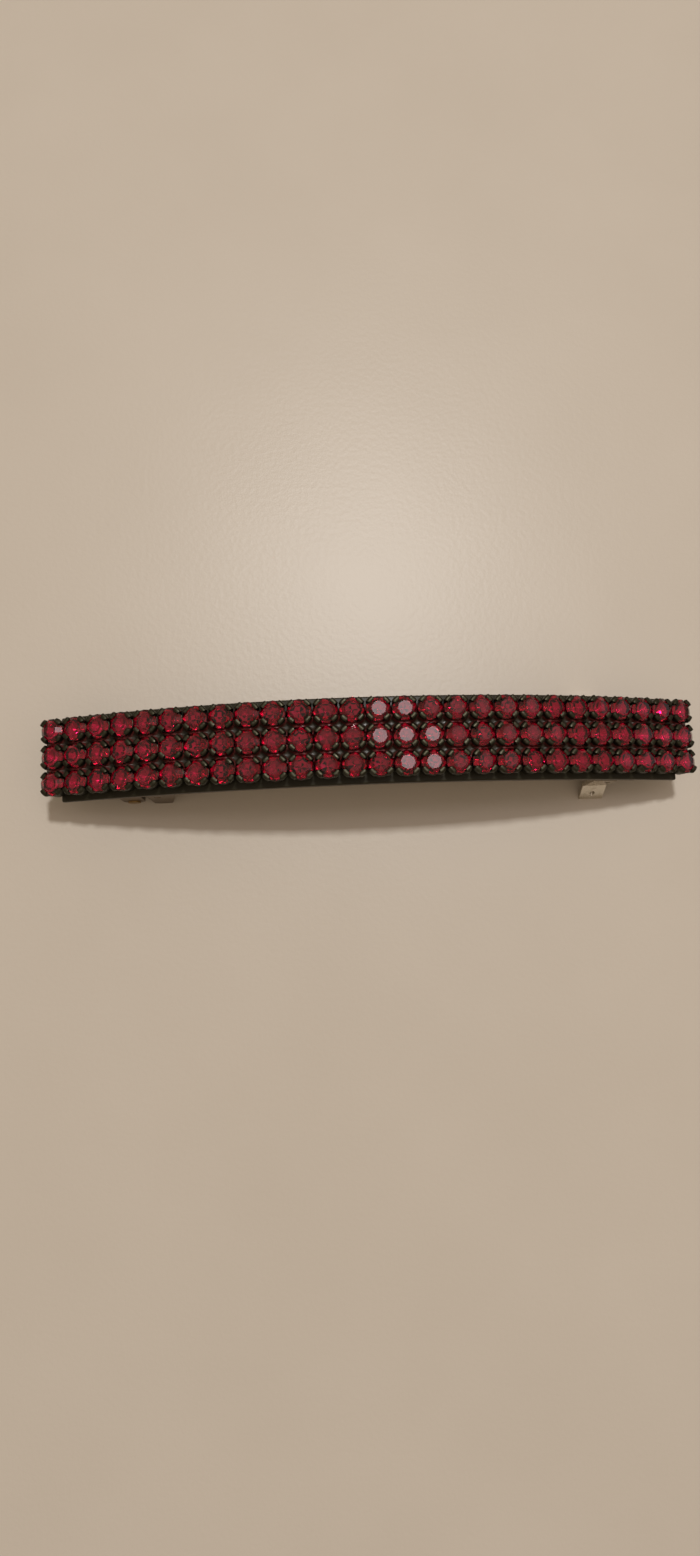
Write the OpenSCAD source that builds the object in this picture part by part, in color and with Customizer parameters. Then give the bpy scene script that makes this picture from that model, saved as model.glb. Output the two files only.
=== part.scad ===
// French barrette: three rows of cup-set rhinestones glued on an arched black strip,
// with a sprung steel clip underneath. X runs along the clip from the hinge (-X) to the
// catch (+X), Y runs across it, Z is up. The feet stand on Z = 0. Millimetres.

/* [Rhinestones] */
// Diameter of a stone over its girdle
stone_d = 3.0; // [2.4:0.05:4.0]
// Diameter of the flat table on top of a stone
table_d = 1.76; // [1.0:0.02:2.0]
// Height of the sloping crown, from the girdle up to the table
crown_h = 0.5; // [0.3:0.05:0.8]
// Height of the straight girdle band
girdle_h = 0.1; // [0.05:0.01:0.2]
// Height of the pointed pavilion below the girdle
pavilion_h = 1.2; // [0.9:0.05:1.6]
// Number of stones in each row
columns = 27; // [15:1:31]

/* [Cup chain] */
// Sheet thickness of a cup's floor
cup_floor = 0.25; // [0.15:0.05:0.4]
// Sheet thickness of a cup's wall
cup_wall = 0.2; // [0.15:0.01:0.3]
// Gap between two cups of one row, at their walls or their prongs, whichever stand closer
cup_gap = 0.03; // [0.02:0.01:0.5]
// Gap between the cups of two rows, measured in the same way
row_gap = 0.23; // [0.1:0.01:2]
// Height of a stone's point above the floor of its cup
culet_gap = 0.15; // [0.1:0.01:0.3]
// How far a stone's table stands out past the prong tips
table_proud = 0.05; // [0:0.01:0.1]
// Width of one prong
prong_w = 0.72; // [0.4:0.02:0.8]
// How far a prong stands out past the girdle
prong_t = 0.3; // [0.2:0.01:0.32]
// How far a prong tip folds in over the crown
prong_fold = 0.25; // [0.1:0.01:0.35]
// Width of the neck of a chain link
link_w = 0.6; // [0.4:0.05:0.8]
// Diameter of the round heads of a chain link
link_head_d = 0.9; // [0.8:0.05:1.0]
// Sheet thickness of a chain link
link_t = 0.2; // [0.1:0.02:0.22]
// Distance between the heads of two links inside one cup
link_gap = 0.54; // [0.4:0.02:0.7]
// Number of cups in the left length of the front row, which is laid as two lengths
front_left_cups = 15; // [2:1:25]

/* [Carrier strip] */
// Radius of the arch at the underside of the carrier strip
arch_r = 110.8; // [90:0.1:140]
// Height of the strip's underside above the table, at the crown of the arch
stand_h = 12; // [11:0.1:16]
// Thickness of the carrier strip
strip_t = 0.8; // [0.5:0.05:1.5]
// Border of bare strip in front of the front row
front_margin = 0.62; // [0.3:0.02:2]
// Border of bare strip behind the back row
back_margin = 0.42; // [0.3:0.02:2]
// How far the end stones stand out past the ends of the strip
end_overhang = 1.7; // [0:0.1:2]
// Corner radius of the strip, in plan
strip_corner = 0.5; // [0.2:0.1:2]
// Thickness of the adhesive under the cups
bed_t = 0.15; // [0.1:0.01:0.3]
// How high the adhesive is squeezed up between two rows, above the cups' undersides
squeeze_h = 0.9; // [0.2:0.05:1]
// Thickness of the adhesive between the strip and the clip
film_t = 0.1; // [0.08:0.01:0.3]

/* [Clip base plate] */
// Length of the plate between its ends, measured straight
plate_l = 71.6; // [64:0.2:78]
// Width of the plate
plate_w = 10.9; // [10.2:0.1:12]
// Thickness of the spring steel plate and its folded ears
plate_t = 0.6; // [0.4:0.05:0.8]
// Radius of the plate's rounded corners, in plan
plate_corner = 2.4; // [1:0.1:4]
// Diameter of the sewing hole near each end
sew_hole_d = 1.8; // [1:0.1:2.2]
// Distance of a sewing hole from the end of the plate
sew_hole_in = 2.2; // [1.8:0.1:3]

/* [Hinge] */
// Distance of the hinge pin in from the end of the plate
pin_in = 4.6; // [4:0.1:5.2]
// Height of the hinge pin above the table
pin_z = 2.1; // [1.8:0.05:2.6]
// Diameter of the hinge pin
pin_d = 1.2; // [1:0.05:1.4]
// Radius of the rounded ear around the pin
ear_r = 1.4; // [1.2:0.05:1.6]
// Radial running clearance of the arm on the pin
pin_play = 0.05; // [0.02:0.01:0.08]
// Distance of the hinge ear's outer face in from the plate's edge
ear_inset = 0.15; // [0.1:0.05:0.4]
// Thickness of each peened head of the hinge pin
pin_head_t = 0.2; // [0.1:0.05:0.25]
// How far a peened head stands out around the pin
pin_head_lip = 0.2; // [0.1:0.05:0.4]

/* [Side ears] */
// Distance of the side ear's tip from the hinge pin, along the clip
guard_gap = 3.6; // [3.3:0.1:4.2]
// Length of the side ear where it leaves the plate
guard_l = 3.8; // [3:0.1:4]
// Length of the flat foot at the tip of the side ear
guard_foot = 1.2; // [0.8:0.1:2]
// How far the ear's root stands nearer to the middle than its tip
guard_lean = 0.7; // [0:0.1:1]
// Radius of the corners of the foot
guard_round = 0.6; // [0.3:0.05:0.8]

/* [Locking arm] */
// Radius of the arm's gentle arch
arm_r = 400; // [250:10:600]
// Height of the arm's top face above the table, at mid length
arm_z = 3.5; // [3.3:0.05:3.8]
// Sheet thickness of the arm
arm_t = 0.5; // [0.3:0.05:0.6]
// Width of the arm between its ends
arm_w = 6; // [4:0.1:7]
// Depth of the arm's folded side flanges
flange_h = 1.6; // [1:0.1:1.7]
// Length of the wide head that snaps between the catch legs
head_l = 2.8; // [2:0.1:3]
// How far the narrow finger tip stands out past the head
tip_l = 2.4; // [1:0.1:4]
// Width of the finger tip
tip_w = 4; // [3:0.1:6]
// Length of the wide root between the lugs, along the arm
root_l = 3.6; // [3:0.1:5]
// Corner radii of the arm's sheet, its root and head, and its finger tip
arm_corner = 0.4; // [0.2:0.1:1]
head_corner = 0.6; // [0.2:0.1:1]
tip_corner = 1.2; // [0.4:0.1:1.4]
// Sideways clearance of each moving sheet edge beside its neighbour
side_play = 0.1; // [0.08:0.01:0.2]

/* [Catch] */
// Distance of the middle of the catch legs in from the end of the plate
catch_in = 6; // [5.6:0.1:6.4]
// Length of a catch leg along the clip
leg_l = 3.2; // [2.6:0.1:3.6]
// Sheet thickness of the catch
catch_t = 0.5; // [0.4:0.05:0.6]
// Distance between the inner faces of the two legs
leg_gap = 10; // [9.6:0.1:10.4]
// How far the finger wing flares out from its leg
wing_out = 1.5; // [0.6:0.1:1.6]
// Height at which the leg bends out into the wing
wing_z = 2.2; // [1.8:0.1:2.8]
// How far the pressed hook stands in from its leg
hook_in = 0.55; // [0.3:0.05:0.6]
// Height of the hook's middle above the table
hook_z = 1.0; // [0.8:0.05:1.1]
// Diameter of the pressed hook
hook_d = 1.2; // [0.8:0.05:1.3]
// Diameter of the small hole in each leg
leg_hole_d = 0.8; // [0.4:0.1:1]
// Height of the small hole above the table
leg_hole_z = 5.2; // [4:0.1:6]
// Length of the catch plate under the base plate
catch_plate_l = 6.4; // [5:0.1:7]
// Diameter of the two catch rivets
rivet_d = 1.6; // [1:0.1:1.8]
// Distance between the two catch rivets
rivet_gap = 4.4; // [4:0.1:5]
// How far a rivet's head stands out around its shank
rivet_lip = 0.5; // [0.2:0.05:0.6]
// Thickness of a rivet's head
rivet_head_t = 0.4; // [0.2:0.05:0.5]

/* [Tension bar] */
// Rise of the bar's bow between its pivot and mid length
bar_bow = 1.6; // [1:0.1:2]
// Thickness of the spring strip
bar_t = 0.4; // [0.3:0.05:0.5]
// Width of the bar between its ends
bar_w = 4.6; // [3:0.1:6]
// Distance of the bar's free end from the middle of the catch legs
bar_short = 4.4; // [4:0.1:9.8]
// Diameter of the rolled barrel at the bar's pivot
barrel_d = 1.3; // [1.1:0.05:1.4]
// Diameter of the trunnions in the side ears
trunnion_d = 0.8; // [0.6:0.05:0.9]
// Distance of the bar's pivot below the plate
barrel_drop = 1.05; // [0.9:0.05:1.4]
// Length of the bar's wide root, from the pivot
bar_root_l = 1.8; // [1:0.1:3]
// Corner radii of the bar's free end and of its root
bar_corner = 1.5; // [0.5:0.1:2]
bar_root_corner = 0.5; // [0.2:0.1:0.8]

/* [Hidden] */
$fn = 96;

// Seating clearance between pieces that are fastened to each other
seat = 0.02;
// Clearance of a loose piece in its pocket
loose = 0.04;
// Overlap that joins two shapes of one piece
weld = 0.2;
// Step that keeps two faces of one piece from lying in one plane
step = 0.01;
// How far a blank reaches past the outline that it is cut to
spare = 1;

// Radii of the stacked layers, all about the arch's centre line
arch_z = stand_h - arch_r;
strip_r = arch_r + strip_t;
cup_r = strip_r + bed_t;
plate_top_r = arch_r - film_t;
plate_r = plate_top_r - plate_t;
catch_top_r = plate_r - seat;
catch_r = catch_top_r - catch_t;

// Stone and cup, measured up from the underside of the cup
culet_z = cup_floor + culet_gap;
girdle_z = culet_z + pavilion_h;
crown_z = girdle_z + girdle_h;
table_z = crown_z + crown_h;
cup_h = table_z - table_proud;
cup_d = stone_d + 2 * loose;
wall_in_r = cup_d / 2 - cup_wall;
wall_z = culet_z + pavilion_h * wall_in_r / (stone_d / 2) - seat;
prong_out_r = cup_d / 2 + prong_t;
prong_in_r = stone_d / 2 + seat;
prong_bevel = 0.1;
prong_root_z = 0.55 * wall_z;

// Chain layout
cup_reach = max(cup_d, (2 * prong_out_r + prong_w) / sqrt(2));
pitch = cup_reach + cup_gap;
row_pitch = cup_reach + row_gap;
step_a = pitch / cup_r * 180 / PI;
strip_half = (columns - 1) / 2 * pitch + cup_d / 2 - end_overhang;
strip_a = strip_half / strip_r * 180 / PI;
strip_w = 2 * row_pitch + cup_d + front_margin + back_margin;
strip_y = (back_margin - front_margin) / 2;

// Places along the clip, from its middle
pin_x = plate_l / 2 - pin_in;
guard_x = pin_x - guard_gap;
catch_x = plate_l / 2 - catch_in;
bar_end = catch_x - bar_short;

// Hinge
ear_out = plate_w / 2 - ear_inset;
ear_in = ear_out - plate_t;
lug_out = ear_in - side_play;
lug_in = lug_out - plate_t;
lug_r = ear_r - pin_play;
head_w = leg_gap - 2 * hook_in - 2 * side_play;
arm_hinge_x = -pin_x + pin_d / 2 + 1;

// Side ears
guard_out = plate_w / 2;
guard_in = guard_out - plate_t;
barrel_z = plate_z(guard_x) - barrel_drop;

// Tension bar
bar_top = barrel_z + barrel_d / 2 + bar_bow;
bar_r = (guard_x * guard_x + bar_bow * bar_bow) / (2 * bar_bow);

// Height of the plate's underside at a distance x from the middle
function plate_z(x) = arch_z + sqrt(plate_r * plate_r - x * x);

// A band of the arch: two radii, half its angle, and its width across the clip
module arch_band(r_in, r_out, half_a, width) {
    reach = r_out * 1.1;
    translate([0, 0, arch_z]) rotate([90, 0, 0])
        linear_extrude(width, center = true)
            intersection() {
                difference() {
                    circle(r_out, $fn = 360);
                    circle(r_in, $fn = 360);
                }
                polygon([[0, 0], [-reach * sin(half_a), reach * cos(half_a)],
                         [0, reach * 1.2], [reach * sin(half_a), reach * cos(half_a)]]);
            }
}

// A sheet bent to a large radius, from x0 to x1, with its top at top_z at mid length
module bent_sheet(r, top_z, t, x0, x1, width) {
    rotate([90, 0, 0]) linear_extrude(width, center = true)
        intersection() {
            translate([0, top_z - r]) difference() {
                circle(r, $fn = 360);
                circle(r - t, $fn = 360);
            }
            translate([x0, 0]) square([x1 - x0, top_z + 1]);
        }
}

// A rounded rectangle in plan, as a tall cutter
module plan(x0, x1, width, corner) {
    linear_extrude(stand_h + 10) union() {
        translate([x0 + corner, -width / 2]) square([x1 - x0 - 2 * corner, width]);
        translate([x0, -width / 2 + corner]) square([x1 - x0, width - 2 * corner]);
        for (x = [x0 + corner, x1 - corner], y = [-1, 1])
            translate([x, y * (width / 2 - corner)]) circle(corner);
    }
}

// A flat shape in the X-Z plane, made into a sheet between two distances from the middle
module side_sheet(y_in, y_out) {
    for (s = [-1, 1])
        translate([0, s * (y_in + y_out) / 2, 0]) rotate([90, 0, 0])
            linear_extrude(y_out - y_in, center = true) children();
}

// Stands its children on the arch, at a radius and an angle from the crown
module on_arch(r, a, y = 0) {
    translate([0, y, arch_z]) rotate([0, a, 0]) translate([0, 0, r]) children();
}

// One flat-table round stone, its point down
module stone() {
    rotate_extrude() polygon([
        [0, culet_z], [stone_d / 2, girdle_z], [stone_d / 2, crown_z],
        [table_d / 2, table_z], [0, table_z]
    ]);
}

// The outline of a prong, turned about the cup's axis
module prong_outline() {
    fold_r = stone_d / 2 - prong_fold;
    fold_z = crown_z + crown_h * prong_fold / (stone_d - table_d) * 2;
    polygon([
        [wall_in_r, prong_root_z], [wall_in_r, wall_z],
        [prong_in_r, girdle_z], [prong_in_r, crown_z + seat],
        [fold_r, fold_z + 2 * seat], [fold_r, cup_h - prong_bevel / 2],
        [fold_r + prong_bevel, cup_h], [prong_out_r - 2 * prong_bevel, cup_h],
        [prong_out_r, cup_h - 3 * prong_bevel], [prong_out_r, girdle_z - 2 * prong_bevel],
        [cup_d / 2, prong_root_z]
    ]);
}

// One four-prong cup with a slot on each side for the chain links
module cup() {
    slot_h = link_t + 2 * loose;
    difference() {
        union() {
            rotate_extrude() polygon([
                [0, 0], [cup_d / 2, 0], [cup_d / 2, wall_z], [wall_in_r, wall_z],
                [wall_in_r, cup_floor], [0, cup_floor]
            ]);
            intersection() {
                rotate_extrude() prong_outline();
                union() for (a = [45, 135])
                    rotate(a) cube([2 * cup_d, prong_w, 3 * cup_h], center = true);
            }
        }
        translate([0, 0, cup_floor + slot_h / 2])
            cube([cup_d + 1, link_w + 2 * loose, slot_h], center = true);
    }
}

// One dumbbell link, centred between two cups, lying on their floors
module link() {
    head_x = (pitch - link_head_d - link_gap) / 2;
    translate([0, 0, cup_floor + loose]) {
        translate([-head_x, -link_w / 2, 0]) cube([2 * head_x, link_w, link_t]);
        for (s = [-1, 1]) translate([s * head_x, 0, 0]) cylinder(d = link_head_d, h = link_t);
    }
}

// Columns are numbered from 0 at the hinge end; a link may stand half way between two
function column_a(i) = (i - (columns - 1) / 2) * step_a;

module stone_row(row) {
    color("crimson") for (i = [0:columns - 1])
        on_arch(cup_r, column_a(i), row * row_pitch) stone();
}

module cup_row(row, first, last) {
    color("darkslategray") for (i = [first:last])
        on_arch(cup_r, column_a(i), row * row_pitch) cup();
}

module link_row(row, first, last) {
    color("dimgray") for (i = [first:last - 1])
        on_arch(cup_r, column_a(i + 0.5), row * row_pitch) link();
}

// The bed under the cups, and what is squeezed up between the rows, as far as just past the
// middle of the end cups
module cup_adhesive() {
    color("gray") union() {
        arch_band(strip_r + seat, cup_r - seat, strip_a, 2 * row_pitch + cup_d);
        for (s = [-0.5, 0.5]) translate([0, s * row_pitch, 0])
            arch_band(cup_r - bed_t / 2, cup_r + squeeze_h, column_a(columns - 0.75),
                      row_pitch - cup_d - 2 * seat);
    }
}

module carrier_strip() {
    half = strip_r * sin(strip_a);
    color("black") translate([0, strip_y, 0]) intersection() {
        arch_band(arch_r, strip_r, strip_a + spare, strip_w + spare);
        plan(-half, half, strip_w, strip_corner);
    }
}

module clip_adhesive() {
    half_a = asin(min(plate_l / 2 - plate_corner, strip_half) / plate_r);
    color("gainsboro")
        arch_band(plate_top_r + seat, arch_r - seat, half_a, plate_w - 2 * plate_corner);
}

// Shapes of the folded ears, cut off inside the plate's thickness
module ear_shape() {
    intersection() {
        union() {
            translate([-pin_x, pin_z]) circle(ear_r);
            translate([-pin_x - ear_r, pin_z]) square([2 * ear_r, stand_h]);
        }
        translate([0, arch_z]) circle(plate_r + weld, $fn = 360);
    }
}

module guard_shape() {
    tip = guard_foot / 2;
    intersection() {
        union() {
            polygon([
                [-guard_x + tip + guard_round, guard_round],
                [-guard_x + guard_lean + guard_l / 2, plate_z(guard_x) + 2],
                [-guard_x + guard_lean - guard_l / 2, plate_z(guard_x) + 2],
                [-guard_x - tip - guard_round, guard_round]
            ]);
            translate([-guard_x - tip, 0]) square([guard_foot, 2 * guard_round]);
            for (s = [-1, 1]) translate([-guard_x + s * tip, guard_round]) circle(guard_round);
        }
        translate([0, arch_z]) circle(plate_r + weld, $fn = 360);
    }
}

// Shank of a catch rivet, standing on the arch
module at_rivets() {
    for (s = [-1, 1]) on_arch(0, asin(catch_x / plate_r), s * rivet_gap / 2) children();
}

module base_plate() {
    sew_a = asin((plate_l / 2 - sew_hole_in) / plate_r);
    color("silver") difference() {
        union() {
            intersection() {
                arch_band(plate_r, plate_top_r, asin(plate_l / 2 / plate_r) + spare,
                          plate_w + spare);
                plan(-plate_l / 2, plate_l / 2, plate_w, plate_corner);
            }
            side_sheet(ear_in, ear_out) ear_shape();
            side_sheet(guard_in, guard_out) guard_shape();
        }
        for (a = [-sew_a, sew_a]) on_arch(plate_r - spare, a)
            cylinder(d = sew_hole_d, h = plate_t + 2 * spare);
        at_rivets() translate([0, 0, plate_r - spare])
            cylinder(d = rivet_d + 2 * seat, h = plate_t + 2 * spare);
        translate([-pin_x, 0, pin_z]) rotate([90, 0, 0])
            cylinder(d = pin_d + 2 * seat, h = 2 * plate_w, center = true);
        translate([-guard_x, 0, barrel_z]) rotate([90, 0, 0])
            cylinder(d = trunnion_d + 2 * pin_play, h = 2 * plate_w, center = true);
    }
}

module hinge_pin() {
    head_y = ear_out + seat;
    color("darkgoldenrod") translate([-pin_x, 0, pin_z]) rotate([90, 0, 0]) {
        cylinder(d = pin_d, h = 2 * head_y + pin_head_t, center = true);
        for (s = [-1, 1]) translate([0, 0, s * (head_y + pin_head_t / 2)])
            cylinder(r = pin_d / 2 + pin_head_lip, h = pin_head_t, center = true);
    }
}

module catch_plate() {
    x0 = catch_x - catch_plate_l / 2;
    width = leg_gap - 3 * side_play;
    color("silver") difference() {
        intersection() {
            arch_band(catch_r, catch_top_r, asin((catch_x + catch_plate_l) / catch_r),
                      width + spare);
            plan(x0, x0 + catch_plate_l, width, head_corner);
        }
        at_rivets() translate([0, 0, catch_r - spare])
            cylinder(d = rivet_d + 2 * seat, h = catch_t + 2 * spare);
    }
}

module catch_rivets() {
    color("silver") at_rivets() {
        translate([0, 0, catch_r - seat])
            cylinder(d = rivet_d, h = plate_top_r - catch_r);
        translate([0, 0, catch_r - seat - rivet_head_t])
            cylinder(d = rivet_d + 2 * rivet_lip, h = rivet_head_t);
    }
}

// The leg at +Y: a sprung sheet that hangs beside the plate's edge, bent out into a wing,
// with a round hook pressed in towards the arm
module catch_leg() {
    y0 = leg_gap / 2;
    wing_slope = wing_out / wing_z;
    bend = catch_t * (sqrt(1 + wing_slope * wing_slope) - 1) / wing_slope;
    difference() {
        intersection() {
            translate([catch_x - leg_l / 2, 0, 0]) rotate([90, 0, 90]) linear_extrude(leg_l)
                polygon([
                    [y0, stand_h], [y0, wing_z], [y0 + wing_out, 0],
                    [y0 + wing_out + catch_t, 0], [y0 + catch_t, wing_z + bend],
                    [y0 + catch_t, stand_h]
                ]);
            translate([0, 0, arch_z]) rotate([90, 0, 0])
                cylinder(r = plate_r - loose - seat, h = 4 * plate_w, center = true, $fn = 360);
        }
        translate([catch_x + leg_l / 4, y0, leg_hole_z]) rotate([90, 0, 0])
            cylinder(d = leg_hole_d, h = 4 * catch_t, center = true);
        translate([catch_x, y0 + catch_t / 2 + weld, hook_z]) rotate([-90, 0, 0])
            cylinder(d = hook_d - catch_t, h = 4);
    }
    translate([catch_x, y0 - hook_in, hook_z]) rotate([-90, 0, 0])
        cylinder(d = hook_d, h = hook_in + catch_t / 2 + wing_out / 2);
}

module catch_leg_back() {
    color("silver") catch_leg();
}

module catch_leg_front() {
    color("silver") mirror([0, 1, 0]) catch_leg();
}

module arm_lug_shape() {
    arm_edge = arm_z - arm_hinge_x * arm_hinge_x / (2 * arm_r);
    lug_end = arm_hinge_x + root_l - head_corner;
    translate([-pin_x, pin_z]) circle(lug_r);
    polygon([
        [-pin_x, pin_z + lug_r], [-pin_x, pin_z - lug_r],
        [lug_end, arm_edge - flange_h + arm_t / 2], [lug_end, arm_edge - arm_t / 2]
    ]);
}

module locking_arm() {
    head_x = catch_x - head_l / 2;
    color("silver") difference() {
        union() {
            intersection() {
                bent_sheet(arm_r, arm_z, arm_t, arm_hinge_x, catch_x + head_l + tip_l,
                           2 * lug_out + spare);
                union() {
                    plan(arm_hinge_x - spare, catch_x, arm_w, arm_corner);
                    plan(arm_hinge_x - spare, arm_hinge_x + root_l, 2 * lug_out, head_corner);
                    plan(head_x, head_x + head_l, head_w, head_corner);
                    plan(catch_x, catch_x + head_l / 2 + tip_l, tip_w, tip_corner);
                }
            }
            side_sheet(arm_w / 2 - arm_t - step, arm_w / 2 - step) intersection() {
                translate([0, arm_z - arm_r]) difference() {
                    circle(arm_r - arm_t / 2, $fn = 360);
                    circle(arm_r - flange_h, $fn = 360);
                }
                translate([arm_hinge_x + 1, 0]) square([head_x - arm_hinge_x - 2, arm_z + 1]);
            }
            side_sheet(lug_in - step, lug_out - step) arm_lug_shape();
        }
        translate([-pin_x, 0, pin_z]) rotate([90, 0, 0])
            cylinder(d = pin_d + 2 * pin_play, h = 2 * plate_w, center = true);
    }
}

module tension_bar() {
    wide = 2 * (guard_in - side_play);
    color("silver") union() {
        intersection() {
            bent_sheet(bar_r, bar_top, bar_t, -guard_x, bar_end + spare, wide + spare);
            union() {
                plan(-guard_x - spare, bar_end, bar_w, bar_corner);
                plan(-guard_x - spare, -guard_x + bar_root_l, wide, bar_root_corner);
            }
        }
        translate([-guard_x, 0, barrel_z]) rotate([90, 0, 0]) {
            cylinder(d = barrel_d, h = wide, center = true);
            cylinder(d = trunnion_d, h = 2 * (guard_out - loose), center = true);
        }
    }
}

stone_row(1);  // stones_back_row
stone_row(0);  // stones_middle_row
stone_row(-1);  // stones_front_row
cup_row(1, 0, columns - 1);  // cups_back_row
cup_row(0, 0, columns - 1);  // cups_middle_row
cup_row(-1, 0, front_left_cups - 1);  // cups_front_row_left
cup_row(-1, front_left_cups, columns - 1);  // cups_front_row_right
link_row(1, 0, columns - 1);  // links_back_row
link_row(0, 0, columns - 1);  // links_middle_row
link_row(-1, 0, front_left_cups - 1);  // links_front_row_left
link_row(-1, front_left_cups, columns - 1);  // links_front_row_right
cup_adhesive();
carrier_strip();
clip_adhesive();
base_plate();
hinge_pin();
catch_plate();
catch_rivets();
catch_leg_front();
catch_leg_back();
locking_arm();
tension_bar();
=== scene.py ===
"""A French barrette with three rows of cup-set rhinestones, built around its steel clip.

Everything is in metres, in the clip's own frame: X along the clip from hinge to catch, Y across
it, Z up, with the lowest point of the closed clip on Z = 0.
"""
import math

import bpy
import numpy as np
from mathutils import Matrix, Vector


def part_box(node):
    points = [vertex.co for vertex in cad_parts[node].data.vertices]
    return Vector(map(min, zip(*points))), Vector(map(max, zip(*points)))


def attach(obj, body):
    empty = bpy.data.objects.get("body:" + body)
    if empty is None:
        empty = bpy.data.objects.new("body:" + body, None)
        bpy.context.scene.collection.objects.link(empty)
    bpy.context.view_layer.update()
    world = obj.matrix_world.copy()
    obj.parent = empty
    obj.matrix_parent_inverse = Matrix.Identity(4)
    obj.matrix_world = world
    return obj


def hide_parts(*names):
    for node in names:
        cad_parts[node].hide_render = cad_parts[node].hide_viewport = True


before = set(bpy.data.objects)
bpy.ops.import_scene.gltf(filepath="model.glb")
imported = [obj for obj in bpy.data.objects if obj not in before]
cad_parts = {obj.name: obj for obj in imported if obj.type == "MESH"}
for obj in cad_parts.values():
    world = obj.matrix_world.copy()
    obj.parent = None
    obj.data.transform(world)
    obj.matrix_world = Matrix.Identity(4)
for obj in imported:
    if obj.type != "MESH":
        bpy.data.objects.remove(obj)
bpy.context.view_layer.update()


# ---------------------------------------------------------------- table, camera and light
# The clip lies stones up on a pale matt table that is clear from below, and is looked at from
# just in front of straight above. Most of the light is one small lamp a little behind the
# clip; four weaker lamps and the room fill in.

MM = 0.001


class Wire:
    """A shader socket that can be added, multiplied, or taken from a number.

    Each operator makes one Math node in the socket's own tree.
    """

    def __init__(self, finish, socket):
        self.finish = finish
        self.socket = socket

    def math(self, operation, first, second):
        settings = {"operation": operation}
        return self.finish.node("ShaderNodeMath", settings, {0: first, 1: second})

    def __add__(self, other):
        return self.math("ADD", self, other)

    def __rsub__(self, other):
        return self.math("SUBTRACT", other, self)

    def __mul__(self, other):
        return self.math("MULTIPLY", self, other)


class Finish:
    """One material: a Principled shader and the nodes that vary it over the surface."""

    def __init__(self, name, **constants):
        self.material = bpy.data.materials.new(name)
        self.material.use_nodes = True
        self.tree = self.material.node_tree
        self.shader = self.tree.nodes["Principled BSDF"]
        for socket, value in constants.items():
            self.shader.inputs[socket.replace("_", " ")].default_value = value

    def node(self, kind, settings=None, sockets=None, out=0):
        """Adds a node, makes its settings, then fills its sockets with values or wires."""
        made = self.tree.nodes.new(kind)
        for key, value in (settings or {}).items():
            if key == "stops":
                self.fill_ramp(made.color_ramp, value)
            else:
                setattr(made, key, value)
        for key, value in (sockets or {}).items():
            if isinstance(value, Wire):
                self.tree.links.new(value.socket, made.inputs[key])
            else:
                made.inputs[key].default_value = value
        return Wire(self, made.outputs[out])

    @staticmethod
    def fill_ramp(ramp, stops):
        """Gives a colour ramp these (place, colour) stops."""
        while len(ramp.elements) < len(stops):
            ramp.elements.new(0.5)
        for element, (place, colour) in zip(ramp.elements, stops):
            element.position = place
            element.color = colour

    def place(self, scale=(1, 1, 1), turn=(0, 0, 0)):
        """Object coordinates, scaled and turned."""
        where = self.node("ShaderNodeTexCoord", out=3)
        return self.node("ShaderNodeMapping", None,
                         {"Vector": where, "Rotation": turn, "Scale": scale})

    def noise(self, scale, detail=3, roughness=0.5, stretch=(1, 1, 1), turn=(0, 0, 0)):
        """Noise from 0 to 1 in object coordinates, scale in waves a metre."""
        return self.node("ShaderNodeTexNoise", None,
                         {"Vector": self.place(stretch, turn), "Scale": scale,
                          "Detail": detail, "Roughness": roughness})

    def remap(self, value, low, high, to_low=0.0, to_high=1.0):
        """Values from low to high become to_low to to_high, clamped."""
        return self.node("ShaderNodeMapRange", None,
                         {"Value": value, "From Min": low, "From Max": high,
                          "To Min": to_low, "To Max": to_high})

    def blend(self, factor, first, second):
        """A colour between two colours."""
        return self.node("ShaderNodeMix", {"data_type": "RGBA"},
                         {0: factor, 6: first, 7: second}, out=2)

    def bump(self, height, distance, strength=1.0):
        """A normal from a height of 0 to 1 that stands for this distance."""
        return self.node("ShaderNodeBump", None,
                         {"Height": height, "Distance": distance, "Strength": strength})

    def feed(self, **sockets):
        """Links wires into the shader's own sockets."""
        for socket, value in sockets.items():
            self.tree.links.new(value.socket, self.shader.inputs[socket.replace("_", " ")])
        return self


def rgb(red, green, blue):
    """An opaque colour."""
    return (red, green, blue, 1.0)


table_half = 0.8
table_mesh = bpy.data.meshes.new("table_top")
table_corners = [(-table_half, -table_half, 0), (table_half, -table_half, 0),
                 (table_half, table_half, 0), (-table_half, table_half, 0)]
table_mesh.from_pydata(table_corners, [], [(0, 1, 2, 3)])
table_top = bpy.data.objects.new("table_top", table_mesh)
bpy.context.scene.collection.objects.link(table_top)
laminate = Finish("pale_laminate", Roughness=0.36, Specular_IOR_Level=0.28)
mottle = laminate.noise(38, 4, 0.55)
seen_from_below = laminate.node("ShaderNodeNewGeometry", out=6)
laminate.feed(
    Base_Color=laminate.blend(mottle, rgb(0.535, 0.48, 0.41), rgb(0.585, 0.53, 0.46)),
    Normal=laminate.bump(laminate.noise(1500, 3), 0.00004, 0.6),
    Alpha=1 - seen_from_below)
table_mesh.materials.append(laminate.material)

# The camera stands a little left of the middle and in front of it, tipped and turned as a
# phone in a hand would be; its rows are its right, up and back directions in the clip's frame.
eye_height = 126.5 * MM
eye_left = 11.1 * MM
eye_front = 20.4 * MM
tip, lean, roll = (math.radians(a) for a in (-7.85, 3.7, 2.05))
sensor = 36
lens_share = 0.61054


def turn_matrix(axis, angle):
    """A right-hand turn by an angle about one axis, as a 3 by 3 array."""
    a, b = [(1, 2), (2, 0), (0, 1)][axis]
    turned = np.eye(3)
    turned[a, a] = turned[b, b] = math.cos(angle)
    turned[a, b] = -math.sin(angle)
    turned[b, a] = math.sin(angle)
    return turned


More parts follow.
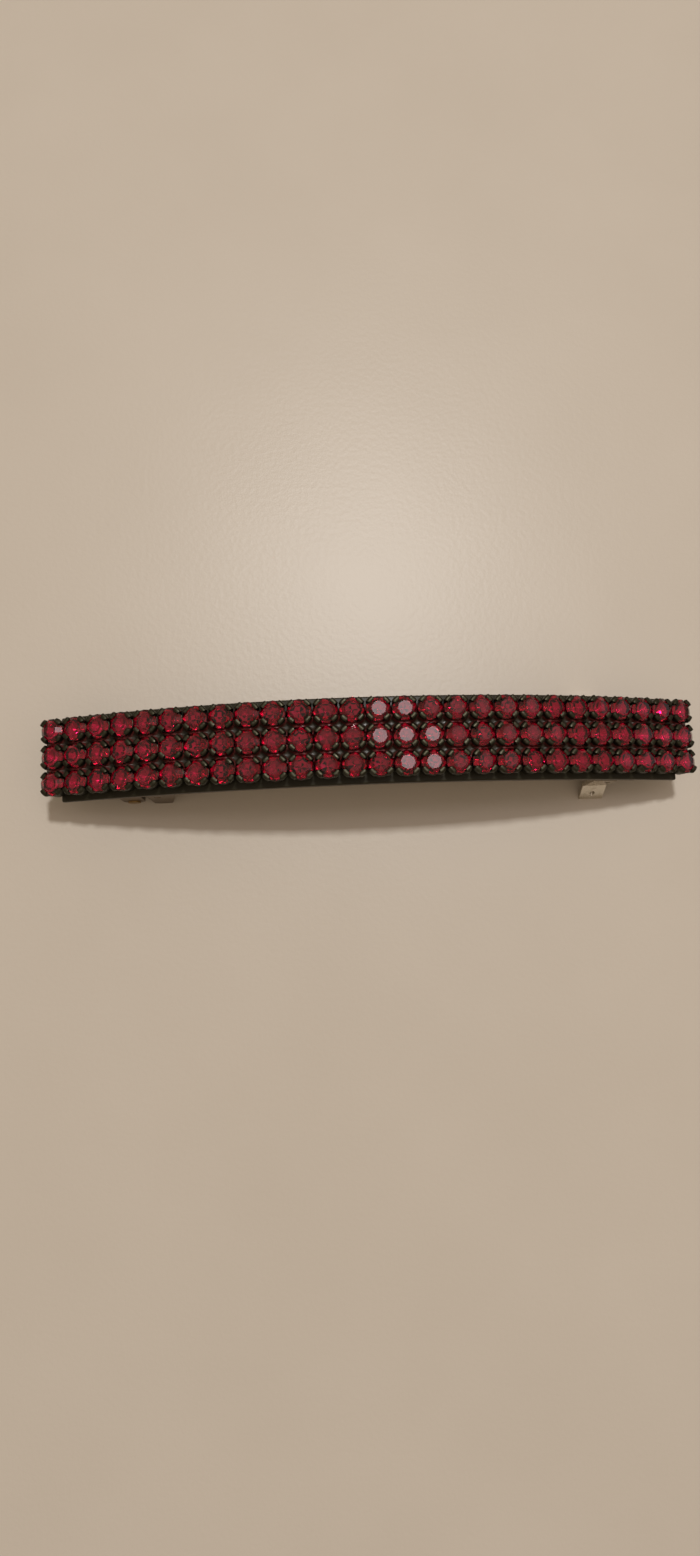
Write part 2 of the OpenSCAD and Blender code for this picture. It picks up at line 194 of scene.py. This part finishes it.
camera_rows = turn_matrix(2, roll) @ turn_matrix(1, lean) @ turn_matrix(0, tip)
camera_data = bpy.data.cameras.new("camera")
camera_data.sensor_width = sensor
camera_data.lens = lens_share * sensor
camera_data.clip_start = 5 * MM
camera = bpy.data.objects.new("camera", camera_data)
bpy.context.scene.collection.objects.link(camera)
eye = np.array([-eye_left, -eye_front, eye_height])
camera_matrix = np.eye(4)
camera_matrix[:3, :3] = camera_rows.T
camera_matrix[:3, 3] = eye
camera.matrix_world = Matrix(camera_matrix.tolist())
bpy.context.scene.camera = camera


def area_lamp(name, behind, side, distance, size, power, colour):
    """A square lamp aimed at the clip.

    It stands behind the vertical and to the right of it by these angles in degrees, at this
    distance in metres; size is its side in metres and power its watts.
    """
    way = np.array([math.tan(math.radians(side)), math.tan(math.radians(behind)), 1.0])
    way /= np.linalg.norm(way)
    data = bpy.data.lights.new(name, "AREA")
    data.size = size
    data.energy = power
    data.color = colour
    lamp = bpy.data.objects.new(name, data)
    bpy.context.scene.collection.objects.link(lamp)
    right = np.cross([0, 1, 0], way)
    right /= np.linalg.norm(right)
    matrix = np.eye(4)
    matrix[:3, 0], matrix[:3, 1], matrix[:3, 2] = right, np.cross(way, right), way
    matrix[:3, 3] = way * distance
    lamp.matrix_world = Matrix(matrix.tolist())
    return lamp


area_lamp("lamp", 20, 5, 1.2, 0.09, 6.6, (1.0, 0.99, 0.97))
area_lamp("lamp_halo", 10.6, 10.5, 1.3, 0.24, 0.66, (1.0, 0.90, 0.92))
area_lamp("left_lamp", 11.7, -28.2, 1.3, 0.08, 0.16, (1.0, 0.94, 0.95))
area_lamp("far_window", 10, 60, 1.5, 0.5, 0.22, (0.78, 0.88, 1.0))
area_lamp("pale_wall", 11, 27, 1.6, 0.6, 0.35, (1.0, 0.84, 0.84))


class Room(Finish):
    """The light of the room itself: warm, bright overhead and dimmer towards the table."""

    def __init__(self):
        world = bpy.data.worlds.new("room")
        world.use_nodes = True
        self.tree = world.node_tree
        self.shader = self.tree.nodes["Background"]
        bpy.context.scene.world = world


room = Room()
way_up = room.node("ShaderNodeSeparateXYZ", None, {0: room.node("ShaderNodeTexCoord")}, out=2)
room.feed(Color=room.node("ShaderNodeValToRGB", {"stops": [
    (0.0, rgb(0.36, 0.31, 0.25)), (0.3, rgb(0.29, 0.225, 0.16)),
    (0.75, rgb(0.42, 0.34, 0.255)), (1.0, rgb(0.56, 0.46, 0.37))]}, {0: way_up}))
bpy.context.scene.view_settings.view_transform = "Standard"


# ---------------------------------------------------------------- the steel clip
# Arched spring steel base plate with folded ears, the catch with its two sprung legs and
# rivets, the channel-shaped locking arm and the bowed tension bar, all nickel plated.

def dress(material, *nodes):
    """Gives these solid parts of the clip one material in place of their own."""
    for node in nodes:
        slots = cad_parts[node].data.materials
        slots.clear()
        slots.append(material)


def bright_nickel():
    """Bright, slightly warm nickel with fine drawing lines, smears and rubbed spots."""
    metal = Finish("nickel_plate", Metallic=1.0)
    drawn_along_x = (0.02, 1, 1)
    lines = metal.noise(9000, 2, 0.6, stretch=drawn_along_x)
    smear = metal.noise(240, 4, 0.6)
    rubbed = metal.remap(metal.noise(700, 5, 0.65), 0.52, 0.72)
    tone = metal.blend(smear, rgb(0.60, 0.55, 0.46), rgb(0.72, 0.67, 0.58))
    metal.feed(
        Base_Color=metal.blend(rubbed, tone, rgb(0.50, 0.44, 0.34)),
        Roughness=metal.remap(smear, 0.3, 0.7, 0.16, 0.32) + rubbed * 0.10,
        Normal=metal.bump(lines, 0.000006, 0.5))
    return metal.material


def nickel_painted_dark():
    """Nickel painted dark and brown as painted shade, for the plate, whose ears and edges hang
    in the shade under the clip.
    """
    metal = Finish("nickel_painted_dark", Metallic=1.0)
    smear = metal.noise(240, 4, 0.6)
    metal.feed(
        Base_Color=metal.blend(smear, rgb(0.10, 0.068, 0.042), rgb(0.20, 0.15, 0.105)),
        Roughness=metal.remap(smear, 0.3, 0.7, 0.30, 0.46),
        Normal=metal.bump(metal.noise(6000, 3), 0.000008, 0.5))
    return metal.material


# The base plate gets a darker, browner copy of the clip's nickel: painted shade.
dress(nickel_painted_dark(), "base_plate")
dress(bright_nickel(), "catch_plate", "catch_rivets", "catch_leg_front", "catch_leg_back",
      "locking_arm", "tension_bar")


# ---------------------------------------------------------------- hinge pin
# A brass rivet through both ears of the base plate. Its ends are peened over, and the brass
# has gone dull and brown in places.

brass = Finish("dull_brass", Metallic=1.0)
tarnish = brass.noise(1500, 4, 0.6)
brass.feed(Base_Color=brass.blend(tarnish, rgb(0.22, 0.13, 0.05), rgb(0.48, 0.33, 0.15)),
           Roughness=brass.remap(tarnish, 0.3, 0.7, 0.28, 0.5),
           Normal=brass.bump(brass.noise(5200, 3), 0.00001, 0.6))
dress(brass.material, "hinge_pin")


# ---------------------------------------------------------------- carrier strip
# A steel strip arched like the clip and enamelled gloss black, with its edges rounded by the
# enamel. The cups are glued along its top.

strip_low, strip_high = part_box("carrier_strip")
strip_thick = 0.8 * MM
strip_r = 111.6 * MM
arch_z = strip_high.z - strip_r
strip_half_angle = math.asin(strip_high.x / strip_r)
strip_half_width = (strip_high.y - strip_low.y) / 2
strip_middle = (strip_high.y + strip_low.y) / 2


def add_piece(name, points, faces, materials, body, stands_for, which=None, smooth=40):
    """Makes a mesh piece from point and face arrays and hands it to the frame.

    Edges sharper than smooth degrees stay sharp, and 0 leaves every face flat.
    """
    mesh = bpy.data.meshes.new(name)
    mesh.from_pydata(points.tolist(), [], faces)
    for material in materials:
        mesh.materials.append(material)
    if which is not None:
        mesh.polygons.foreach_set("material_index", which)
    if smooth:
        mesh.polygons.foreach_set("use_smooth", np.ones(len(mesh.polygons), bool))
        mesh.set_sharp_from_angle(angle=math.radians(smooth))
    mesh.update()
    made = bpy.data.objects.new(name, mesh)
    bpy.context.scene.collection.objects.link(made)
    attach(made, body)
    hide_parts(*stands_for)
    return made


def grid_faces(rows, columns, wrap=False):
    """Quads of a rows by columns grid of points, closed round the columns when wrap is set."""
    r = np.arange(rows - 1)[:, None]
    c = np.arange(columns if wrap else columns - 1)[None, :]
    after = (c + 1) % columns
    quads = np.stack([r * columns + c, r * columns + after,
                      (r + 1) * columns + after, (r + 1) * columns + c], -1)
    return quads.reshape(-1, 4)


def rounded_box_outline(half_w, half_t, radius, corner_points=5):
    """A rectangle with round corners, anticlockwise, as (across, up) points about its middle."""
    turn = np.linspace(0, math.pi / 2, corner_points)
    corner = np.stack([np.cos(turn), np.sin(turn)], -1) * radius
    parts = []
    for quarter, (sx, sy) in enumerate([(1, 1), (-1, 1), (-1, -1), (1, -1)]):
        spin = turn_matrix(2, quarter * math.pi / 2)[:2, :2]
        parts.append(corner @ spin.T + [sx * (half_w - radius), sy * (half_t - radius)])
    return np.concatenate(parts)


# The outline is carried along the arch; towards each end it narrows by a quarter circle, so
# that the ends are rounded too, and the last ring is closed with a fan.
strip_round = 0.22 * MM
end_run = strip_round / strip_r
arch_rings, end_rings = 121, 4
thinning = 0.98
inner = np.linspace(-strip_half_angle + end_run, strip_half_angle - end_run, arch_rings)
ease = np.linspace(0, math.pi / 2, end_rings + 1)[1:]
angles = np.concatenate([inner[0] - end_run * np.sin(ease)[::-1], inner,
                         inner[-1] + end_run * np.sin(ease)])
shrink = np.concatenate([(1 - np.cos(ease))[::-1], np.zeros(len(inner)), 1 - np.cos(ease)])
outline = rounded_box_outline(strip_half_width, strip_thick / 2, strip_round)
centre_line_r = strip_r - strip_thick / 2
across = outline[None, :, 0] * (1 - shrink[:, None] * strip_round / strip_half_width)
up = outline[None, :, 1] * (1 - shrink[:, None] * strip_round / (strip_thick / 2) * thinning)
radius = centre_line_r + up
strip_points = np.stack([radius * np.sin(angles)[:, None], strip_middle + across,
                         radius * np.cos(angles)[:, None] + arch_z], -1).reshape(-1, 3)
ring = len(outline)
strip_faces = grid_faces(len(angles), ring, wrap=True).tolist()
strip_faces.append(list(range(ring)))
strip_faces.append([len(angles) * ring - 1 - i for i in range(ring)])
enamel = Finish("black_enamel", Specular_IOR_Level=0.18)
flow = enamel.noise(420, 3)
dust = enamel.remap(enamel.noise(6500, 4, 0.7), 0.66, 0.74)
enamel.feed(
    Base_Color=enamel.blend(dust, rgb(0.022, 0.019, 0.010), rgb(0.09, 0.075, 0.055)),
    Roughness=enamel.remap(flow, 0.3, 0.7, 0.30, 0.46) + dust * 0.3,
    Normal=enamel.bump(flow, 0.00004, 0.4))
add_piece("carrier_strip_enamelled", strip_points, strip_faces, [enamel.material], "base",
          ["carrier_strip"])


# ---------------------------------------------------------------- adhesive
# Dark epoxy: a bed between the strip and the cups, squeezed up between the rows, where it is
# painted dark red as painted reflected light from the stones beside it, and a film between the
# strip and the clip.

cup_r = strip_r + 0.15 * MM
cup_wall_r = 1.54 * MM
cup_pitch = 3.1413 * MM
row_pitch = 3.3413 * MM
column_count = 27
bed_bottom = -0.12 * MM
squeeze_corner, squeeze_narrow = 0.85 * MM, 1.30 * MM
squeeze_reach = 0.5 * MM
squeeze_edge, squeeze_fall = 0.15 * MM, 0.4 * MM
wall_rise = 0.15 * MM
painted_red_above = 0.5 * MM


def smooth_step(value):
    """0 below 0, 1 above 1 and 3t^2 - 2t^3 between."""
    t = np.clip(value, 0, 1)
    return t * t * (3 - 2 * t)


def make_bed(along, across):
    """Heights of the epoxy over a grid laid out flat, and how close it lies to two rows.

    The height is nil inside a cup and rises within the cup's wall. Outside, between the outer
    rows, it is full where two cups nearly meet and sinks with the distance from the nearest
    wall, so that it dips at the corner between four cups.
    """
    column = np.round(along / cup_pitch)
    column = np.clip(column, -(column_count // 2), column_count // 2)
    row = np.clip(np.round(across / row_pitch), -1, 1)
    gap = np.hypot(along - column * cup_pitch, across - row * row_pitch) - cup_wall_r
    inside = smooth_step((row_pitch + squeeze_edge - np.abs(across)) / squeeze_fall)
    outside_cup = smooth_step(1 + gap / wall_rise)
    narrow = 1 - smooth_step(gap / squeeze_reach)
    full = squeeze_corner + (squeeze_narrow - squeeze_corner) * narrow
    return full * inside * outside_cup, narrow


end_inset = 0.08
bed_half = (column_count / 2 - end_inset) * cup_pitch
bed_edge = row_pitch + 0.8 * MM
steps_per_cup, steps_across = 14, 72
along = np.linspace(-bed_half, bed_half, column_count * steps_per_cup + 1)[:, None]
across = np.linspace(-bed_edge, bed_edge, steps_across + 1)[None, :]
bed_height, bed_narrow = make_bed(along, across)
bed_r = np.stack([cup_r + bed_height, np.full(bed_height.shape, cup_r + bed_bottom)], 0)
bed_angle = along / cup_r
bed_points = np.stack([bed_r * np.sin(bed_angle), np.broadcast_to(across, bed_r.shape),
                       bed_r * np.cos(bed_angle) + arch_z], -1).reshape(-1, 3)
bed_rows, bed_columns = bed_height.shape
bed_top = grid_faces(bed_rows, bed_columns)
under = bed_rows * bed_columns
rim = np.concatenate([np.arange(bed_columns), np.arange(2, bed_rows) * bed_columns - 1,
                      under - 1 - np.arange(bed_columns),
                      (np.arange(bed_rows - 2, 0, -1)) * bed_columns])
rim_after = np.roll(rim, -1)
bed_sides = np.stack([rim, rim_after, rim_after + under, rim + under], -1)
bed_faces = np.concatenate([bed_top[:, ::-1], bed_top + under, bed_sides]).tolist()
epoxy = Finish("dark_epoxy", Specular_IOR_Level=0.3)
cloud = epoxy.noise(900, 4)
beside_stones = epoxy.node("ShaderNodeAttribute", {"attribute_name": "beside_stones"}, out=2)
clear_dark = epoxy.blend(cloud, rgb(0.016, 0.013, 0.008), rgb(0.040, 0.032, 0.020))
# The dark red near the stones is painted reflected light from the stones; the epoxy's own colour
# is the clear dark one.
epoxy.feed(Base_Color=epoxy.blend(beside_stones, clear_dark, rgb(0.16, 0.014, 0.016)),
           Roughness=epoxy.remap(cloud, 0.3, 0.7, 0.22, 0.55),
           Normal=epoxy.bump(cloud, 0.00003, 0.4))
bed = add_piece("epoxy_bed", bed_points, bed_faces, [epoxy.material], "base", ["cup_adhesive"],
                smooth=60)
stone_glow_attribute = bed.data.attributes.new("beside_stones", "FLOAT", "POINT")
stone_glow_attribute.data.foreach_set("value", np.tile((bed_narrow * (bed_height > painted_red_above)).ravel(), 2))
dress(epoxy.material, "clip_adhesive")


# ---------------------------------------------------------------- cup chain
# Drawn brass cups plated black, each with four prongs bent over its stone, joined by flat
# dumbbell links. The front row is laid as two butted lengths.

front_left_cups = 15
step_angle = cup_pitch / cup_r

black_plate = Finish("black_plate", Metallic=1.0)
wear = black_plate.remap(black_plate.noise(2300, 4, 0.6), 0.5, 0.72)
patch = black_plate.noise(420, 3)
dark = black_plate.blend(patch, rgb(0.030, 0.028, 0.018), rgb(0.052, 0.050, 0.034))
black_plate.feed(
    Base_Color=black_plate.blend(wear, dark, rgb(0.080, 0.078, 0.058)),
    Roughness=black_plate.remap(patch, 0.3, 0.7, 0.34, 0.50),
    Normal=black_plate.bump(black_plate.noise(4200, 3), 0.000012, 0.6))
# The links get a darker, rougher copy of the same black plating as the cups: painted shade, for
# the narrow gaps between the stones where they lie.
shaded_plate = Finish("shaded_black_plate", Metallic=1.0)
shaded_plate_mottle = shaded_plate.noise(1300, 4, 0.6)
shaded_plate.feed(
    Base_Color=shaded_plate.blend(shaded_plate_mottle, rgb(0.010, 0.008, 0.005), rgb(0.026, 0.022, 0.015)),
    Roughness=shaded_plate.remap(shaded_plate_mottle, 0.3, 0.7, 0.42, 0.60))

# Outlines of a wall and of a prong, from the underside round the rim to the inside, as
# (radius, height) in millimetres. The same step of each is the same place on the sheet.
wall_outline = [(0, 0), (1.30, 0), (1.48, 0.05), (1.54, 0.20), (1.54, 0.80), (1.54, 1.10),
                (1.54, 1.30), (1.54, 1.38), (1.52, 1.43), (1.48, 1.45), (1.45, 1.46),
                (1.41, 1.45), (1.38, 1.43), (1.36, 1.38), (1.35, 1.28), (1.34, 0.40),
                (1.22, 0.26), (0, 0.25)]
prong_outline = [(0, 0), (1.30, 0), (1.48, 0.05), (1.55, 0.20), (1.60, 0.80), (1.70, 1.18),
                 (1.78, 1.50), (1.80, 1.78), (1.76, 1.98), (1.64, 2.10), (1.48, 2.15),
                 (1.30, 2.14), (1.16, 2.07), (1.17, 2.00), (1.50, 1.72), (1.38, 1.40),
                 (1.22, 0.26), (0, 0.25)]
prong_half_angle = 24.0
prong_ease = 10.0
around = 72


def make_cup():
    """A round cup as a grid of turn and profile step.

    At each turn the profile is the wall's, moved towards the prong's by a smooth bump that is
    1 within a few degrees of a diagonal and 0 a prong's half width away.
    """
    turn = np.arange(around) * 360 / around
    off_diagonal = np.abs(turn % 90 - 45)
    bump = smooth_step((prong_half_angle - off_diagonal) / prong_ease)
    wall, prong = np.array(wall_outline), np.array(prong_outline)
    profile = wall[:, None] + bump[None, :, None] * (prong - wall)[:, None]
    angle = np.radians(turn)[None, :]
    points = np.stack([profile[..., 0] * np.cos(angle), profile[..., 0] * np.sin(angle),
                       profile[..., 1]], -1)
    rings = points[1:-1].reshape(-1, 3)
    poles = np.array([[0, 0, wall_outline[0][1]], [0, 0, wall_outline[-1][1]]])
    faces = grid_faces(len(wall) - 2, around, wrap=True).tolist()
    first, last = len(rings), len(rings) + 1
    top = len(rings) - around
    faces += [[first, (i + 1) % around, i] for i in range(around)]
    faces += [[last, top + i, top + (i + 1) % around] for i in range(around)]
    return np.concatenate([rings, poles]) * MM, faces


def stations(columns, row, chance, lift=0.0, tilt=0.0, twist=0.0):
    """Turn matrices and places on the arch for these columns of a row.

    Each is the turn about Y by the column's angle, then a small random tilt and twist, in
    degrees, of the piece about its own middle at height lift.
    """
    angle = (np.asarray(columns, float) - (column_count - 1) / 2) * step_angle
    turned = []
    for a in angle:
        lean_x, lean_y, spin = np.radians(chance.normal(0, 1, 3) * [tilt, tilt, twist])
        own = turn_matrix(0, lean_x) @ turn_matrix(1, lean_y) @ turn_matrix(2, spin)
        turned.append((turn_matrix(1, a), own))
    turns = np.array([outer @ own for outer, own in turned])
    shift = np.array([outer @ (np.eye(3) - own) @ [0, 0, lift] for outer, own in turned])
    places = np.stack([cup_r * np.sin(angle), np.full(len(angle), row * row_pitch),
                       cup_r * np.cos(angle) + arch_z], -1) + shift
    return turns, places


def repeat(points, faces, turns, places):
    """Copies of one shape, each turned and placed, as one set of points and faces."""
    moved = np.einsum("kij,nj->kni", turns, points) + places[:, None]
    count = len(points)
    every = [[i + k * count for i in face] for k in range(len(turns)) for face in faces]
    return moved.reshape(-1, 3), every


cup_points, cup_faces = make_cup()
cup_seed, cup_tilt, cup_twist = 27, 0.5, 2
cup_chance = np.random.default_rng(cup_seed)
chain_lengths = [("back_row", 1, 0, column_count), ("middle_row", 0, 0, column_count),
                 ("front_row_left", -1, 0, front_left_cups),
                 ("front_row_right", -1, front_left_cups, column_count)]
for length_name, row, first_cup, end_cup in chain_lengths:
    turns, places = stations(range(first_cup, end_cup), row, cup_chance,
                             tilt=cup_tilt, twist=cup_twist)
    points, faces = repeat(cup_points, cup_faces, turns, places)
    add_piece("prong_cups_" + length_name, points, faces, [black_plate.material], "base",
              ["cups_" + length_name])
    # The links take the darker copy of the plate, painted shade.
    dress(shaded_plate.material, "links_" + length_name)


# ---------------------------------------------------------------- rhinestones
# Machine-cut ruby glass: a flat eight-sided table, a sloping crown, a thin girdle and a
# pointed pavilion whose back is foiled, so that light which enters the crown comes back.

stone_r = 1.56 * MM
table_r = 0.90 * MM
culet_z = 0.40 * MM
girdle_z = 1.60 * MM
crown_z = 1.70 * MM
table_z = 2.20 * MM
main_r = 0.98 * MM
main_z = 0.86 * MM


def ring_points(radius, height, count, start=0.0):
    """Points evenly round a circle, the first at start degrees."""
    angle = np.radians(start + np.arange(count) * 360 / count)
    return np.stack([radius * np.cos(angle), radius * np.sin(angle),
                     np.full(count, height)], -1)


def make_stone():
    """A brilliant-like cut as points, faces and which look each face has.

    It has a table, eight crown facets with a triangle between each two, a sixteen-sided
    girdle, and below it sixteen small facets by the girdle, eight triangles between them and
    eight facets down to the point. The sixteen facets by the girdle take a darker foil, painted
    shade. The point rings are t, u, l and m, from the table down.
    """
    table = ring_points(table_r, table_z, 8, 22.5)
    upper = ring_points(stone_r, crown_z, 16, 11.25)
    lower = ring_points(stone_r, girdle_z, 16, 11.25)
    mains = ring_points(main_r, main_z, 8, 0.0)
    points = np.concatenate([table, upper, lower, mains, [[0, 0, culet_z]]])
    t, u, l, m, culet = 0, 8, 24, 40, 48
    glass, foil_bright, foil_shaded = 0, 1, 2
    faces, looks = [list(range(t, t + 8))], [glass]
    for k in range(8):
        after = (k + 1) % 8
        left, middle, right = 2 * k, 2 * k + 1, (2 * k + 2) % 16
        faces.append([t + k, u + left, u + middle])
        faces.append([t + k, u + middle, u + right, t + after])
        looks += [glass, glass]
    for k in range(16):
        after = (k + 1) % 16
        faces.append([l + k, l + after, u + after, u + k])
        looks.append(glass)
    for k in range(8):
        after = (k + 1) % 8
        left, middle, right = (2 * k - 1) % 16, 2 * k, 2 * k + 1
        faces.append([m + k, l + middle, l + left])
        faces.append([m + k, l + right, l + middle])
        faces.append([m + k, m + after, l + right])
        faces.append([culet, m + after, m + k])
        looks += [foil_shaded, foil_shaded, foil_bright, foil_bright]
    return points, faces, looks


ruby = Finish("ruby_glass", Roughness=0.0, IOR=1.55, Transmission_Weight=1.0)
ruby_cloud = ruby.noise(520, 2)
ruby.feed(Base_Color=ruby.blend(ruby_cloud, rgb(0.50, 0.007, 0.100), rgb(0.64, 0.010, 0.140)))
foil = Finish("foil_back", Metallic=1.0)
foil_cloud = foil.noise(800, 2)
foil.feed(Base_Color=foil.blend(foil_cloud, rgb(0.85, 0.25, 0.36), rgb(1.0, 0.42, 0.55)),
          Roughness=foil.remap(foil.noise(650, 2), 0.42, 0.58, 0.07, 0.30))
# A darker copy of the foil for the facets by the girdle: painted shade, where the cup shades the
# foil.
foil_painted_shade = Finish("foil_painted_shade", Metallic=1.0, Roughness=0.35)
shaded_foil_cloud = foil_painted_shade.noise(800, 2)
foil_painted_shade.feed(
    Base_Color=foil_painted_shade.blend(shaded_foil_cloud, rgb(0.10, 0.025, 0.035), rgb(0.18, 0.045, 0.06)))

# The seed was picked by a search, so that the stones that mirror the halo are a chosen group
# of seven near the middle of the clip.
stone_points, stone_faces, stone_looks = make_stone()
stone_seed, stone_tilt, stone_twist = 2500, 1.6, 40
stone_chance = np.random.default_rng(stone_seed)
for row_name, row in (("back_row", 1), ("middle_row", 0), ("front_row", -1)):
    turns, places = stations(range(column_count), row, stone_chance, crown_z,
                             stone_tilt, stone_twist)
    points, faces = repeat(stone_points, stone_faces, turns, places)
    add_piece("cut_stones_" + row_name, points, faces,
              [ruby.material, foil.material, foil_painted_shade.material], "base",
              ["stones_" + row_name], which=np.tile(stone_looks, column_count),
              smooth=0)
